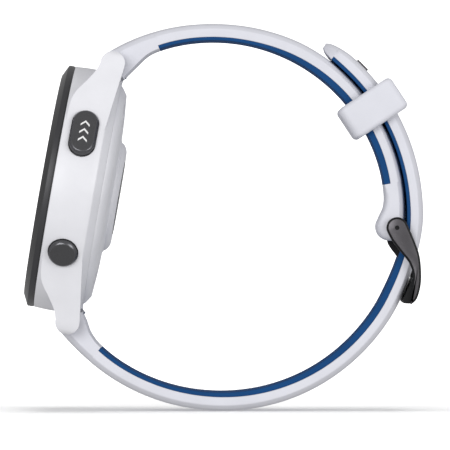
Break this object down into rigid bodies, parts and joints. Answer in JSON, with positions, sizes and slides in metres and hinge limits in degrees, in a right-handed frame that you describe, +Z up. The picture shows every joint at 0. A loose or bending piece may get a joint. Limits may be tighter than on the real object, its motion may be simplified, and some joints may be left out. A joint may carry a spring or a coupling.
{
  "type": "gps running watch",
  "caption": "Round sports watch with side buttons on a closed two-tone silicone strap, with a pin buckle, a sliding keeper and quick-release spring bars.",
  "frame": {"origin": "centre of the strap's upper arc, on the watch's middle plane, where the middle of the wrist goes", "axes": "+X from the watch face to the buckle, +Y across the strap, away from the start button, +Z up to the upper lugs"},
  "size_m": [0.0753, 0.0475, 0.0728],
  "materials": {
    "white_plastic": "satin",
    "white_silicone": "matte",
    "blue_silicone": "matte",
    "dark_bezel": "satin",
    "dark_button": "satin anodised",
    "dark_buckle": "satin, dark coated",
    "steel": "brushed",
    "gold": "plated",
    "black_glass": "polished",
    "display": "smooth",
    "black_plastic": "matte",
    "circuit_board": "satin",
    "battery_foil": "satin",
    "gasket_rubber": "matte"
  },
  "bodies": {
    "case": {"case_body": "white_plastic", "bezel": "dark_bezel", "lens_gasket": "gasket_rubber", "lens": "black_glass", "display_module": "display", "inner_frame": "black_plastic", "gps_antenna": "gold", "mainboard": "circuit_board", "shield_can": "steel", "battery": "battery_foil", "vibration_motor": "steel", "buzzer": "gold", "rear_cover": "white_plastic", "rear_gasket": "gasket_rubber", "sensor_window": "black_glass", "sensor_board": "circuit_board", "pressure_vent": "black_plastic", "charging_port": "black_plastic", "charge_contact_1": "gold", "charge_contact_2": "gold", "charge_contact_3": "gold", "charge_contact_4": "gold", "rear_screw_1": "steel", "rear_screw_2": "steel", "rear_screw_3": "steel", "rear_screw_4": "steel", "start_spring": "steel", "start_switch": "steel", "back_spring": "steel", "back_switch": "steel", "light_spring": "steel", "light_switch": "steel", "up_spring": "steel", "up_switch": "steel", "down_spring": "steel", "down_switch": "steel"},
    "start_button": {"start_button": "dark_button"},
    "back_button": {"back_button": "dark_button"},
    "light_button": {"light_button": "dark_button"},
    "up_button": {"up_button": "dark_button"},
    "down_button": {"down_button": "dark_button"},
    "band": {"upper_strap": "white_silicone", "upper_liner": "blue_silicone", "lower_strap": "white_silicone", "lower_liner": "blue_silicone", "strap_badge": "dark_buckle", "buckle_pin": "steel", "upper_bar": "steel", "upper_bar_spring": "steel", "lower_bar": "steel", "lower_bar_spring": "steel"},
    "upper_release": {"upper_release": "steel"},
    "lower_release": {"lower_release": "steel"},
    "keeper": {"keeper": "white_silicone"},
    "buckle": {"buckle_frame": "dark_buckle"},
    "tongue": {"buckle_tongue": "dark_buckle"}
  },
  "joints": [
    {"name": "start_press", "type": "slide", "parent": "case", "child": "start_button", "axis": [-0.0797, 0.887, -0.4548], "range_m": [0, 0.0006], "stiffness_N_per_m": 2000, "deforming": ["start_spring"]},
    {"name": "back_press", "type": "slide", "parent": "case", "child": "back_button", "axis": [0.0884, 0.859, 0.5044], "range_m": [0, 0.0006], "stiffness_N_per_m": 2000, "deforming": ["back_spring"]},
    {"name": "light_press", "type": "slide", "parent": "case", "child": "light_button", "axis": [-0.0863, -0.866, -0.4925], "range_m": [0, 0.0006], "stiffness_N_per_m": 2000, "deforming": ["light_spring"]},
    {"name": "up_press", "type": "slide", "parent": "case", "child": "up_button", "axis": [0, -1, 0], "range_m": [0, 0.0006], "stiffness_N_per_m": 2000, "deforming": ["up_spring"]},
    {"name": "down_press", "type": "slide", "parent": "case", "child": "down_button", "axis": [0.0863, -0.866, 0.4925], "range_m": [0, 0.0006], "stiffness_N_per_m": 2000, "deforming": ["down_spring"]},
    {"name": "band_swing", "type": "hinge", "parent": "case", "child": "band", "pos_m": [-0.01869, 0, 0.02824], "axis": [0, -1, 0], "range_deg": [0, 60]},
    {"name": "upper_bar_release", "type": "slide", "parent": "band", "child": "upper_release", "axis": [0, -1, 0], "range_m": [0, 0.0015], "stiffness_N_per_m": 1500, "deforming": ["upper_bar_spring"]},
    {"name": "lower_bar_release", "type": "slide", "parent": "band", "child": "lower_release", "axis": [0, -1, 0], "range_m": [0, 0.0015], "stiffness_N_per_m": 1500, "deforming": ["lower_bar_spring"]},
    {"name": "keeper_slide", "type": "hinge", "parent": "band", "child": "keeper", "pos_m": [0, 0, 0], "axis": [0, -1, 0], "range_deg": [-11, 14]},
    {"name": "buckle_swing", "type": "hinge", "parent": "band", "child": "buckle", "pos_m": [0.03456, 0, -0.0026], "axis": [0, -1, 0], "range_deg": [0, 2.5]},
    {"name": "tongue_lift", "type": "hinge", "parent": "buckle", "child": "tongue", "pos_m": [0.03456, 0, -0.0026], "axis": [0, -1, 0], "range_deg": [0, 1.5]}
  ]
}
